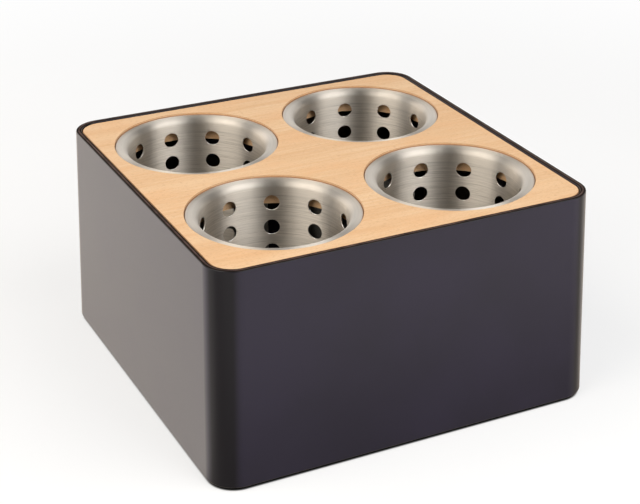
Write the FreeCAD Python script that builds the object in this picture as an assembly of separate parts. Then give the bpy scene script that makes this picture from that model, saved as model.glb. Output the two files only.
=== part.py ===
import FreeCAD
import Part
import math
import os

# Countertop cutlery caddy: a square sheet-metal housing, a beech top board and four lift-out steel cups.
# Millimetres, +Z up. The origin is at the middle of the footprint, on the surface the feet stand on.
# The front is at -Y and the left side at -X.

Vector = FreeCAD.Vector
UP = Vector(0, 0, 1)
ORIGIN = Vector(0, 0, 0)

# Housing: its size is that of the rim, and each wall stands further out at its foot by the spread
BODY_WIDTH = 272.0
BODY_DEPTH = 272.0
WALL_SPREAD = 4.5
SHELL_HEIGHT = 149.5
SHELL_SHEET = 2.0
HEM_DEPTH = 16.0
SHELL_CORNER_RADIUS = 20.0
SHELL_EDGE_ROUND = 0.8
FLOOR_GAP = 2.5

# Top board
BOARD_THICKNESS = 19.0
BOARD_BELOW_RIM = 0.7
BOARD_SIDE_GAP = 0.6
BOARD_EDGE_ROUND = 0.8

# Cups, with the share of the wood left beside a row's two rebates that stands between them
WOOD_BETWEEN_CUPS = 0.4565
CUP_HEIGHT = 137.0
CUP_LIP_DIAMETER = 114.3
CUP_INSIDE_DIAMETER = 97.6
CUP_SHEET = 0.8
CUP_FLARE_RADIUS = 4.4
CUP_FLOOR_RADIUS = 5.0
LIP_BELOW_BOARD = 1.3
LIP_SIDE_GAP = 0.5
FLARE_SIDE_GAP = 0.4

# Perforation of the cups, with the turn of each cup's first column of holes about its own axis
HOLE_DIAMETER = 10.8
HOLE_COLUMNS = 10
HOLE_ROW_PITCH = 18.0
FIRST_ROW_BELOW_LIP = 15.0
LAST_ROW_ABOVE_FLOOR = 12.0
DRAIN_DIAMETER = 8.0
DRAIN_RING_COUNT = 8
DRAIN_RING_RADIUS = 28.0
CUP_TURNS = {"front_left": 67.3, "front_right": 83.0, "back_left": 55.0, "back_right": 76.0}

# Angle brackets inside the walls
BRACKET_LENGTH = 56.0
BRACKET_SHEET = 2.0
BRACKET_LEG_UP = 24.0
BRACKET_LEG_IN = 20.0
BRACKET_BEND_RADIUS = 1.5
BRACKET_HOLE_SPACING = 32.0
BRACKET_HOLE_IN = 12.0

# Base panel
BASE_SHEET = 2.0
BASE_SIDE_GAP = 1.0
BASE_RECESS = 4.0

# Rubber strip round the base panel, glued to the feet of the walls
STRIP_WIDTH = 2.5
STRIP_ABOVE_GROUND = 0.4
GLUE_LINE = 0.1

# Screws
WOOD_SCREW_DIAMETER = 4.0
WOOD_SCREW_LENGTH = 15.0
WOOD_SCREW_TIP = 3.5
BASE_SCREW_DIAMETER = 4.0
BASE_SCREW_LENGTH = 8.0
FOOT_SCREW_DIAMETER = 4.0
SCREW_PAST_NUT = 1.0
HEAD_DIAMETER = 7.6
HEAD_HEIGHT = 2.2
HEAD_EDGE_ROUND = 1.3
DRIVE_LENGTH = 4.2
DRIVE_WIDTH = 1.0
DRIVE_DEPTH = 1.2

# Feet, with their washers and nuts
FOOT_DIAMETER = 20.0
FOOT_INSET = 25.0
FOOT_EDGE_ROUND = 1.0
FOOT_RECESS_DIAMETER = 10.0
HEAD_ABOVE_FLOOR = 0.6
WASHER_DIAMETER = 9.0
WASHER_SHEET = 0.8
NUT_ACROSS_FLATS = 7.0
NUT_HEIGHT = 3.2

# Clearances round the screws: through a plain hole, and in a thread or a pilot hole
HOLE_CLEARANCE = 0.25
THREAD_CLEARANCE = 0.02

# Heights, radii and thicknesses that follow from the sizes above
RIM_THICKNESS = 2 * SHELL_SHEET
FOOT_HEIGHT = FLOOR_GAP + BASE_RECESS
SHELL_TOP = FLOOR_GAP + SHELL_HEIGHT
BOARD_INSET = RIM_THICKNESS + BOARD_SIDE_GAP
BOARD_WIDTH = BODY_WIDTH - 2 * BOARD_INSET
BOARD_DEPTH = BODY_DEPTH - 2 * BOARD_INSET
BOARD_TOP = SHELL_TOP - BOARD_BELOW_RIM
BOARD_BOTTOM = BOARD_TOP - BOARD_THICKNESS
LIP_TOP = BOARD_TOP - LIP_BELOW_BOARD
LIP_UNDERSIDE = LIP_TOP - CUP_SHEET
BASE_TOP = FOOT_HEIGHT + BASE_SHEET
WASHER_BOTTOM = HEAD_ABOVE_FLOOR + HEAD_HEIGHT
WASHER_TOP = WASHER_BOTTOM + WASHER_SHEET
CUP_INSIDE_RADIUS = CUP_INSIDE_DIAMETER / 2
CUP_OUTSIDE_RADIUS = CUP_INSIDE_RADIUS + CUP_SHEET
REBATE_DIAMETER = CUP_LIP_DIAMETER + 2 * LIP_SIDE_GAP
CUP_PITCH_X = REBATE_DIAMETER + WOOD_BETWEEN_CUPS * (BOARD_WIDTH - 2 * REBATE_DIAMETER)
CUP_PITCH_Y = REBATE_DIAMETER + WOOD_BETWEEN_CUPS * (BOARD_DEPTH - 2 * REBATE_DIAMETER)

# A cutter runs past the faces that it opens by this much
CUT_OVERRUN = 1.0


def point(x, y, z):
    """A point of the model frame."""
    return Vector(x, y, z)


def upright_cylinder(diameter, low, high, x=0.0, y=0.0):
    """A cylinder about a vertical axis, from height low to height high."""
    return Part.makeCylinder(diameter / 2, high - low, point(x, y, low), UP)


def rounded_block(width, depth, corner_radius, low, high):
    """A block with round vertical edges, centred on the vertical axis."""
    block = Part.makeBox(width, depth, high - low, point(-width / 2, -depth / 2, low))
    return with_round_uprights(block, corner_radius)


def with_round_uprights(block, corner_radius):
    """A block with its four upright or nearly upright edges rounded."""
    half_height = block.BoundBox.ZLength / 2
    uprights = [edge for edge in block.Edges if edge.BoundBox.ZLength > half_height]
    return block.makeFillet(corner_radius, uprights)


def spread_at(height):
    """How much further out a wall stands at a height than it does at the rim."""
    return WALL_SPREAD * (SHELL_TOP - height) / SHELL_HEIGHT


def block_within_walls(inset, low, high):
    """A block whose sides follow the outer faces of the walls, a level distance inside them."""
    half_low = point(BODY_WIDTH / 2 - inset + spread_at(low), BODY_DEPTH / 2 - inset + spread_at(low), 0)
    half_high = point(BODY_WIDTH / 2 - inset + spread_at(high), BODY_DEPTH / 2 - inset + spread_at(high), 0)
    # The wedge is built lying down, with its height along Y, and then stood up.
    block = Part.makeWedge(
        -half_low.x, low, -half_low.y, -half_high.y, -half_high.x,
        half_low.x, high, half_low.y, half_high.y, half_high.x,
    )
    block.rotate(ORIGIN, Vector(1, 0, 0), 90)
    return with_round_uprights(block, SHELL_CORNER_RADIUS - inset)


def rounded_at(solid, height, radius):
    """The solid with every edge that lies at one height rounded."""
    edges = [
        edge
        for edge in solid.Edges
        if edge.BoundBox.ZLength < 1e-6 and abs(edge.BoundBox.ZMin - height) < 1e-6
    ]
    return solid.makeFillet(radius, edges)


def corners(reach_x, reach_y):
    """The name and the place of each of the four corners of a rectangle about the origin."""
    for depth_name, depth_side in (("front", -1), ("back", 1)):
        for width_name, width_side in (("left", -1), ("right", 1)):
            yield depth_name + "_" + width_name, width_side * reach_x, depth_side * reach_y


def cup_centres():
    """The name and the axis of each cup."""
    return corners(CUP_PITCH_X / 2, CUP_PITCH_Y / 2)


def foot_centres():
    """The name and the axis of each foot."""
    inset = FOOT_INSET - spread_at(FOOT_HEIGHT)
    return corners(BODY_WIDTH / 2 - inset, BODY_DEPTH / 2 - inset)


def walls():
    """Each wall's name, the angle that turns the front wall onto it, and its rim's distance."""
    half_width = BODY_WIDTH / 2
    half_depth = BODY_DEPTH / 2
    return (
        ("front", 0, half_depth),
        ("right", 90, half_width),
        ("back", 180, half_depth),
        ("left", 270, half_width),
    )


def inner_face(rim_distance, height):
    """How far from the middle a wall's inner face is at a height."""
    return rim_distance + spread_at(height) - SHELL_SHEET


def bracket_screw_places(height):
    """The plan of the two screws at each wall's bracket, whose leg lies on the level at a height."""
    for _, angle, rim_distance in walls():
        for side in (-1, 1):
            inward = BRACKET_HOLE_IN - inner_face(rim_distance, height)
            place = point(side * BRACKET_HOLE_SPACING / 2, inward, 0)
            yield FreeCAD.Rotation(UP, angle).multVec(place)


def make_outer_shell():
    """The housing's band: four walls of sheet with round corners, folded double inwards at the rim."""
    outside = block_within_walls(0, FLOOR_GAP, SHELL_TOP)
    hem_low = SHELL_TOP - HEM_DEPTH
    inside_walls = block_within_walls(SHELL_SHEET, FLOOR_GAP - CUT_OVERRUN, hem_low)
    inside_hem = block_within_walls(RIM_THICKNESS, hem_low - CUT_OVERRUN, SHELL_TOP + CUT_OVERRUN)
    band = outside.cut([inside_walls, inside_hem])
    edge_round = min(SHELL_EDGE_ROUND, 0.4 * SHELL_SHEET)
    band = rounded_at(band, SHELL_TOP, edge_round)
    return rounded_at(band, FLOOR_GAP, edge_round)


def make_beech_top():
    """The board, with a rebate and a through hole for each cup and pilot holes from below."""
    board = rounded_block(BOARD_WIDTH, BOARD_DEPTH, SHELL_CORNER_RADIUS - BOARD_INSET, BOARD_BOTTOM, BOARD_TOP)
    board = rounded_at(board, BOARD_TOP, BOARD_EDGE_ROUND)
    cutters = []
    through_diameter = 2 * (CUP_INSIDE_RADIUS + CUP_FLARE_RADIUS + FLARE_SIDE_GAP)
    for _, x, y in cup_centres():
        cutters.append(upright_cylinder(REBATE_DIAMETER, LIP_UNDERSIDE, BOARD_TOP + CUT_OVERRUN, x, y))
        cutters.append(upright_cylinder(through_diameter, BOARD_BOTTOM - CUT_OVERRUN, BOARD_TOP, x, y))
    pilot_diameter = WOOD_SCREW_DIAMETER + 2 * THREAD_CLEARANCE
    pilot_top = BOARD_BOTTOM - BRACKET_SHEET + WOOD_SCREW_LENGTH + CUT_OVERRUN
    for place in bracket_screw_places(BOARD_BOTTOM):
        low = BOARD_BOTTOM - CUT_OVERRUN
        cutters.append(upright_cylinder(pilot_diameter, low, pilot_top, place.x, place.y))
    return board.cut(cutters)


def section_line(start, end):
    """A straight edge of an upright section, from one radius and height to another."""
    return Part.LineSegment(point(start[0], 0, start[1]), point(end[0], 0, end[1])).toShape()


def section_arc(centre, radius, start, end):
    """A round edge of an upright section, about a radius and height, between two angles in degrees."""
    places = []
    for angle in (start, (start + end) / 2, end):
        turn = math.radians(angle)
        places.append(point(centre[0] + radius * math.cos(turn), 0, centre[1] + radius * math.sin(turn)))
    return Part.Arc(*places).toShape()


def cup_section():
    """Half of a cup's upright section, with the lip's top at height zero."""
    inner = CUP_INSIDE_RADIUS
    outer = CUP_OUTSIDE_RADIUS
    lip_start = inner + CUP_FLARE_RADIUS
    lip_end = CUP_LIP_DIAMETER / 2 - CUP_SHEET / 2
    flare_low = -CUP_FLARE_RADIUS
    floor_low = -CUP_HEIGHT
    floor_top = CUP_SHEET - CUP_HEIGHT
    bend_start = inner - CUP_FLOOR_RADIUS
    bend_top = floor_top + CUP_FLOOR_RADIUS
    edges = [
        section_line((lip_end, 0), (lip_start, 0)),
        section_arc((lip_start, flare_low), CUP_FLARE_RADIUS, 90, 180),
        section_line((inner, flare_low), (inner, bend_top)),
        section_arc((bend_start, bend_top), CUP_FLOOR_RADIUS, 0, -90),
        section_line((bend_start, floor_top), (0, floor_top)),
        section_line((0, floor_top), (0, floor_low)),
        section_line((0, floor_low), (bend_start, floor_low)),
        section_arc((bend_start, bend_top), CUP_FLOOR_RADIUS + CUP_SHEET, -90, 0),
        section_line((outer, bend_top), (outer, flare_low)),
        section_arc((lip_start, flare_low), CUP_FLARE_RADIUS - CUP_SHEET, 180, 90),
        section_line((lip_start, -CUP_SHEET), (lip_end, -CUP_SHEET)),
        section_arc((lip_end, -CUP_SHEET / 2), CUP_SHEET / 2, -90, 90),
    ]
    return Part.Face(Part.Wire(edges))


def wall_hole_cutters():
    """Cutters for the columns and rows of holes in a cup's wall."""
    start_radius = CUP_INSIDE_RADIUS / 2
    length = CUP_OUTSIDE_RADIUS + CUT_OVERRUN - start_radius
    rows = 1 + int((CUP_HEIGHT - LAST_ROW_ABOVE_FLOOR - FIRST_ROW_BELOW_LIP) / HOLE_ROW_PITCH)
    cutters = []
    for row in range(rows):
        height = -FIRST_ROW_BELOW_LIP - row * HOLE_ROW_PITCH
        for column in range(HOLE_COLUMNS):
            turn = math.radians(column * 360 / HOLE_COLUMNS)
            outward = point(math.cos(turn), math.sin(turn), 0)
            start = outward * start_radius + point(0, 0, height)
            cutters.append(Part.makeCylinder(HOLE_DIAMETER / 2, length, start, outward))
    return cutters


def drain_cutters():
    """Cutters for the drain holes in a cup's floor: one in the middle and a ring round it."""
    low = -CUP_HEIGHT - CUT_OVERRUN
    high = CUP_SHEET - CUP_HEIGHT + CUT_OVERRUN
    cutters = [upright_cylinder(DRAIN_DIAMETER, low, high)]
    for index in range(DRAIN_RING_COUNT):
        turn = math.radians(index * 360 / DRAIN_RING_COUNT)
        x = DRAIN_RING_RADIUS * math.cos(turn)
        y = DRAIN_RING_RADIUS * math.sin(turn)
        cutters.append(upright_cylinder(DRAIN_DIAMETER, low, high, x, y))
    return cutters


def make_cup():
    """A drawn and perforated cup about the vertical axis, hanging at its seated height."""
    cup = cup_section().revolve(ORIGIN, UP, 360)
    cup = cup.cut(wall_hole_cutters() + drain_cutters())
    return cup.translated(point(0, 0, LIP_TOP))


def bracket_section(level, rise, rim_distance):
    """The upright section of the front wall's bracket, as its six corners.

    Its inward leg lies against the level plane at a height. Its other leg follows the wall's inner face,
    up from there if rise is 1 and down if it is -1.
    """
    tip = level + rise * BRACKET_LEG_UP
    inside = level + rise * BRACKET_SHEET
    wall_at_level = -inner_face(rim_distance, level)
    wall_at_tip = -inner_face(rim_distance, tip)
    wall_at_inside = -inner_face(rim_distance, inside)
    return [
        point(0, wall_at_level, level),
        point(0, wall_at_tip, tip),
        point(0, wall_at_tip + BRACKET_SHEET, tip),
        point(0, wall_at_inside + BRACKET_SHEET, inside),
        point(0, wall_at_level + BRACKET_LEG_IN, inside),
        point(0, wall_at_level + BRACKET_LEG_IN, level),
    ]


def rounded_along(solid, corner, radius):
    """The solid with the one edge that runs along X through a corner rounded."""
    edges = [
        edge
        for edge in solid.Edges
        if edge.BoundBox.YLength < 1e-6
        and edge.BoundBox.ZLength < 1e-6
        and abs(edge.BoundBox.YMin - corner.y) < 1e-6
        and abs(edge.BoundBox.ZMin - corner.z) < 1e-6
    ]
    return solid.makeFillet(radius, edges)


def make_bracket(level, rise, angle, rim_distance, hole_diameter):
    """An angle bracket on the inner face of one wall, with the two holes for its screws."""
    section = bracket_section(level, rise, rim_distance)
    face = Part.Face(Part.makePolygon(section + section[:1]))
    bracket = face.extrude(point(BRACKET_LENGTH, 0, 0)).translated(point(-BRACKET_LENGTH / 2, 0, 0))
    bracket = rounded_along(bracket, section[3], BRACKET_BEND_RADIUS)
    bracket = rounded_along(bracket, section[0], BRACKET_BEND_RADIUS + BRACKET_SHEET)
    low = level - BRACKET_SHEET - CUT_OVERRUN
    high = level + BRACKET_SHEET + CUT_OVERRUN
    cutters = []
    for side in (-1, 1):
        x = side * BRACKET_HOLE_SPACING / 2
        cutters.append(upright_cylinder(hole_diameter, low, high, x, section[0].y + BRACKET_HOLE_IN))
    return bracket.cut(cutters).rotated(ORIGIN, UP, angle)


def make_board_bracket(angle, rim_distance):
    """The angle that carries the board on one wall: it hangs from the board's underside."""
    hole_diameter = WOOD_SCREW_DIAMETER + 2 * HOLE_CLEARANCE
    return make_bracket(BOARD_BOTTOM, -1, angle, rim_distance, hole_diameter)


def make_base_bracket(angle, rim_distance):
    """The tapped angle that holds the base panel on one wall: it stands on the panel's top."""
    hole_diameter = BASE_SCREW_DIAMETER + 2 * THREAD_CLEARANCE
    return make_bracket(BASE_TOP, 1, angle, rim_distance, hole_diameter)


def make_base_panel():
    """The flat sheet under the cups, with holes for its own screws and the feet's."""
    inset = SHELL_SHEET + BASE_SIDE_GAP - spread_at(BASE_TOP)
    corner_radius = SHELL_CORNER_RADIUS - SHELL_SHEET - BASE_SIDE_GAP
    panel = rounded_block(
        BODY_WIDTH - 2 * inset, BODY_DEPTH - 2 * inset, corner_radius, FOOT_HEIGHT, BASE_TOP
    )
    low = FOOT_HEIGHT - CUT_OVERRUN
    high = BASE_TOP + CUT_OVERRUN
    base_hole = BASE_SCREW_DIAMETER + 2 * HOLE_CLEARANCE
    foot_hole = FOOT_SCREW_DIAMETER + 2 * HOLE_CLEARANCE
    cutters = [upright_cylinder(foot_hole, low, high, x, y) for _, x, y in foot_centres()]
    for place in bracket_screw_places(BASE_TOP):
        cutters.append(upright_cylinder(base_hole, low, high, place.x, place.y))
    return panel.cut(cutters)


def make_edge_strip():
    """The rubber strip inside the feet of the walls, which closes most of the gap under them."""
    outer_inset = SHELL_SHEET + GLUE_LINE
    strip = block_within_walls(outer_inset, STRIP_ABOVE_GROUND, FOOT_HEIGHT)
    low = STRIP_ABOVE_GROUND - CUT_OVERRUN
    high = FOOT_HEIGHT + CUT_OVERRUN
    return strip.cut(block_within_walls(outer_inset + STRIP_WIDTH, low, high))


def make_screw(diameter, length, tip, seat):
    """A pan-head screw driven upwards: the flat of its head is at height seat, and it ends in a tip."""
    head_low = seat - HEAD_HEIGHT
    head = rounded_at(upright_cylinder(HEAD_DIAMETER, head_low, seat), head_low, HEAD_EDGE_ROUND)
    tip_low = seat + length - tip
    screw = head.fuse(upright_cylinder(diameter, seat, tip_low))
    if tip > 0:
        screw = screw.fuse(Part.makeCone(diameter / 2, diameter / 10, tip, point(0, 0, tip_low), UP))
    drive = []
    for width, depth in ((DRIVE_LENGTH, DRIVE_WIDTH), (DRIVE_WIDTH, DRIVE_LENGTH)):
        corner = point(-width / 2, -depth / 2, head_low - CUT_OVERRUN)
        drive.append(Part.makeBox(width, depth, DRIVE_DEPTH + CUT_OVERRUN, corner))
    return screw.cut(drive).removeSplitter()


def make_board_screws():
    """The wood screws that rise through the upper brackets into the board."""
    seat = BOARD_BOTTOM - BRACKET_SHEET
    screw = make_screw(WOOD_SCREW_DIAMETER, WOOD_SCREW_LENGTH, WOOD_SCREW_TIP, seat)
    return Part.makeCompound([screw.translated(place) for place in bracket_screw_places(BOARD_BOTTOM)])


def make_base_screws():
    """The machine screws that rise through the base panel into the lower brackets."""
    screw = make_screw(BASE_SCREW_DIAMETER, BASE_SCREW_LENGTH, 0, FOOT_HEIGHT)
    return Part.makeCompound([screw.translated(place) for place in bracket_screw_places(BASE_TOP)])


def make_foot():
    """A rubber foot about the vertical axis: a disc with a recess from below for its screw's head."""
    foot = rounded_at(upright_cylinder(FOOT_DIAMETER, 0, FOOT_HEIGHT), 0, FOOT_EDGE_ROUND)
    recess = upright_cylinder(FOOT_RECESS_DIAMETER, -CUT_OVERRUN, WASHER_TOP)
    bore = upright_cylinder(FOOT_SCREW_DIAMETER + 2 * HOLE_CLEARANCE, 0, FOOT_HEIGHT + CUT_OVERRUN)
    return foot.cut([recess, bore])


def make_foot_screws():
    """The machine screws that rise through the feet and the base panel into their nuts."""
    length = BASE_TOP + NUT_HEIGHT + SCREW_PAST_NUT - WASHER_BOTTOM
    screw = make_screw(FOOT_SCREW_DIAMETER, length, 0, WASHER_BOTTOM)
    return Part.makeCompound([screw.translated(point(x, y, 0)) for _, x, y in foot_centres()])


def make_foot_washers():
    """The washers between the screws' heads and the rubber."""
    bore_diameter = FOOT_SCREW_DIAMETER + 2 * HOLE_CLEARANCE
    bore = upright_cylinder(bore_diameter, WASHER_BOTTOM - CUT_OVERRUN, WASHER_TOP + CUT_OVERRUN)
    washer = upright_cylinder(WASHER_DIAMETER, WASHER_BOTTOM, WASHER_TOP).cut(bore)
    return Part.makeCompound([washer.translated(point(x, y, 0)) for _, x, y in foot_centres()])


def make_foot_nuts():
    """The hexagon nuts on top of the base panel."""
    corner_radius = NUT_ACROSS_FLATS / math.sqrt(3)
    ring = []
    for index in range(7):
        turn = math.radians(60 * index)
        ring.append(point(corner_radius * math.cos(turn), corner_radius * math.sin(turn), BASE_TOP))
    nut = Part.Face(Part.makePolygon(ring)).extrude(point(0, 0, NUT_HEIGHT))
    bore_diameter = FOOT_SCREW_DIAMETER + 2 * THREAD_CLEARANCE
    bore = upright_cylinder(bore_diameter, BASE_TOP - CUT_OVERRUN, BASE_TOP + NUT_HEIGHT + CUT_OVERRUN)
    nut = nut.cut(bore)
    return Part.makeCompound([nut.translated(point(x, y, 0)) for _, x, y in foot_centres()])


def make_parts():
    """Every piece of the caddy, by the name of its node."""
    parts = {
        "outer_shell": make_outer_shell(),
        "beech_top": make_beech_top(),
        "board_screws": make_board_screws(),
        "base_panel": make_base_panel(),
        "edge_strip": make_edge_strip(),
        "base_screws": make_base_screws(),
        "foot_screws": make_foot_screws(),
        "foot_washers": make_foot_washers(),
        "foot_nuts": make_foot_nuts(),
    }
    for name, angle, rim_distance in walls():
        parts["board_bracket_" + name] = make_board_bracket(angle, rim_distance)
        parts["base_bracket_" + name] = make_base_bracket(angle, rim_distance)
    cup = make_cup()
    for name, x, y in cup_centres():
        turned_cup = cup.rotated(ORIGIN, UP, CUP_TURNS[name])
        parts["cutlery_cup_" + name] = turned_cup.translated(point(x, y, 0))
    foot = make_foot()
    for name, x, y in foot_centres():
        parts["rubber_foot_" + name] = foot.translated(point(x, y, 0))
    return parts


os.makedirs("parts", exist_ok=True)
for node, shape in make_parts().items():
    shape.exportStep(os.path.join("parts", node + ".step"))
    print(node, len(shape.Solids), round(shape.Volume, 1), shape.isValid())
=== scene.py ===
import logging
import math
from dataclasses import dataclass, field
from enum import Enum
from functools import reduce
from typing import Iterable, Sequence

import bpy
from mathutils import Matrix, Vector
from mathutils.geometry import tessellate_polygon


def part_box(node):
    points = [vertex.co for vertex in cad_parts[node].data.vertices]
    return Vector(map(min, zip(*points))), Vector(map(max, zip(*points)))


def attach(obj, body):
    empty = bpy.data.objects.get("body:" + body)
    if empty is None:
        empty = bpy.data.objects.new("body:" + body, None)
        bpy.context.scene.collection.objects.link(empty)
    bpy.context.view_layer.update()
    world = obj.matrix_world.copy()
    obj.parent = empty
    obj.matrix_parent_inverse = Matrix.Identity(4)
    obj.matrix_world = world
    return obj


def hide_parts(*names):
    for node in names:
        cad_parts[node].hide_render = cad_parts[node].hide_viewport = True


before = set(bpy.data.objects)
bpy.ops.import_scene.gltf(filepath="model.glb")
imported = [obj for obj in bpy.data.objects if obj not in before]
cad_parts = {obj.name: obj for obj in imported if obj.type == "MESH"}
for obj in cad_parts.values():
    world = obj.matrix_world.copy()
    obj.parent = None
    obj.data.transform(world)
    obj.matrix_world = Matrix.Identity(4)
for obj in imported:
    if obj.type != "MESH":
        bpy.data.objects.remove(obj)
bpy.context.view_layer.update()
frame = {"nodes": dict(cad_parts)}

log = logging.getLogger("caddy")

# Lengths are in metres, +Z is up, the front is at -Y and the left side at -X.
MM = 0.001
QUARTER = 90.0  # degrees
SLANT = 0.7  # each part of a direction halfway between level and upright
SAME_PLACE = 0.0001 * MM
TRIANGLE = 3  # corners
CUP_PITCH = 130.0 * MM
UP = Vector((0, 0, 1))

Colour = tuple[float, float, float]
Scale = tuple[float, float, float]
Range = tuple[float, float]
Socket = bpy.types.NodeSocket
Inputs = dict[str, object]

WHITE: Colour = (1.0, 1.0, 1.0)
EVEN: Scale = (1.0, 1.0, 1.0)
UNIT: Range = (0.0, 1.0)
MIDDLE: Range = (0.3, 0.7)  # where most values of a noise lie


class Slot(Enum):
    """Names of material slots for the pieces that are built anew; the script lists them but doesn't use them.
    """

    HOUSING = "black_housing"
    BOARD = "beech"
    CUP = "cup_steel"


class Corner(Enum):
    """The caddy's corners: the side that each is on, along X and along Y."""

    FRONT_LEFT = (-1, -1)
    FRONT_RIGHT = (1, -1)
    BACK_LEFT = (-1, 1)
    BACK_RIGHT = (1, 1)


# ---------------------------------------------------------------- meshes


@dataclass
class Skin:
    """A surface being put together: points with their own normals, and the faces between them."""

    points: list[Vector] = field(default_factory=list)
    normals: list[Vector] = field(default_factory=list)
    faces: list[tuple[int, ...]] = field(default_factory=list)
    known: dict[tuple[int, int, int], int] = field(default_factory=dict)

    def add(self, point: Vector, normal: Vector) -> int:
        """Adds a point, or finds the one that is already at that place.

        Args:
            point: Where it is, in metres.
            normal: The surface's outward direction there.

        Returns:
            The point's number.
        """
        key = tuple(round(part / SAME_PLACE) for part in point)
        if key not in self.known:
            self.known[key] = len(self.points)
            self.points.append(point.copy())
            self.normals.append(normal.normalized())
        return self.known[key]

    def face(self, *corners: int) -> None:
        """Adds a face, if its corners are three or more different points.

        Args:
            corners: The points' numbers, in either order round the face.
        """
        ring = [corner for i, corner in enumerate(corners) if corner != corners[i - 1]]
        if len(ring) < TRIANGLE:
            return
        first, second, third = (self.points[corner] for corner in ring[:TRIANGLE])
        outward = sum((self.normals[corner] for corner in ring), Vector((0, 0, 0)))
        if (second - first).cross(third - first).dot(outward) < 0:
            ring.reverse()
        self.faces.append(tuple(ring))

    def strip(self, first: Sequence[int], second: Sequence[int], closed: bool = True) -> None:
        """Joins two rows of as many points with quads.

        Args:
            first: The numbers of one row's points.
            second: The numbers of the other row's points.
            closed: Whether each row's last point is next to its first.
        """
        for i in range(0 if closed else 1, len(first)):
            self.face(first[i - 1], first[i], second[i], second[i - 1])

    def piece(self, name: str) -> bpy.types.Object:
        """Makes the mesh and an object that shows it.

        Args:
            name: The name of both.

        Returns:
            The object.
        """
        return show(name, self.mesh(name))

    def mesh(self, name: str) -> bpy.types.Mesh:
        """Makes the mesh alone, smooth, with the points' own normals.

        Args:
            name: The mesh's name.

        Returns:
            The mesh.
        """
        made = bpy.data.meshes.new(name)
        made.from_pydata(self.points, [], self.faces)
        made.shade_smooth()
        made.normals_split_custom_set_from_vertices(self.normals)
        return made


def show(name: str, data: bpy.types.ID) -> bpy.types.Object:
    """Puts a mesh, a lamp or a camera into the scene.

    Args:
        name: The new object's name.
        data: The mesh, the lamp's light or the camera's data.

    Returns:
        The object.
    """
    shown = bpy.data.objects.new(name, data)
    bpy.context.scene.collection.objects.link(shown)
    return shown


@dataclass(frozen=True)
class Step:
    """One point of an upright section, with the section's outward direction there."""

    out: float
    up: float
    normal_out: float
    normal_up: float

    def at(self, ray: Vector) -> Vector:
        """Where the point is, with its section turned to a level ray from the origin."""
        return self.out * ray + self.up * UP

    def facing(self, ray: Vector) -> Vector:
        """The outward direction there, with the section turned to a level ray."""
        return self.normal_out * ray + self.normal_up * UP


def arc_steps(centre: tuple[float, float], radius: float, start: float, end: float, count: int,
              hollow: bool = False) -> list[Step]:
    """A round stretch of an upright section.

    Args:
        centre: The arc's centre, outwards and upwards.
        radius: Its radius.
        start: The angle where it starts, in degrees from outwards to upwards.
        end: The angle where it ends.
        count: How many stretches it is divided into.
        hollow: Whether the material is outside the arc, so that its normals point to its centre.

    Returns:
        The steps from start to end, both included.
    """
    side = -1 if hollow else 1
    steps = []
    for i in range(count + 1):
        turn = math.radians(start + (end - start) * i / count)
        out, up = math.cos(turn), math.sin(turn)
        steps.append(Step(centre[0] + radius * out, centre[1] + radius * up, side * out, side * up))
    return steps


def span(start: float, end: float, count: int) -> list[float]:
    """Evenly spaced values from start to end, both included."""
    return [start + (end - start) * i / count for i in range(count + 1)]


def ray_at(turn: float) -> Vector:
    """The level direction at a turn from the right towards the back, in radians."""
    return Vector((math.cos(turn), math.sin(turn), 0))


# ---------------------------------------------------------------- finishes


@dataclass(frozen=True)
class Grain:
    """Smooth noise from 0 to 1, read in the object's own frame.

    Its waves are counted to the metre, and its stretch multiplies them along each axis. Its detail is the
    number of finer octaves that it has, and its roughness says how strong they are.
    """

    waves: float = 1.0
    detail: float = 2.0
    roughness: float = 0.5
    stretch: Scale = EVEN


@dataclass(frozen=True)
class Layer:
    """A mark on a surface: the grain that shapes it, the reach of its noise that counts, and its amount."""

    grain: Grain
    reach: Range = MIDDLE
    amount: Range = UNIT


def shaded(colour: Colour, share: float) -> Colour:
    """A colour made darker or lighter by a share."""
    return tuple(share * part for part in colour)


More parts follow.
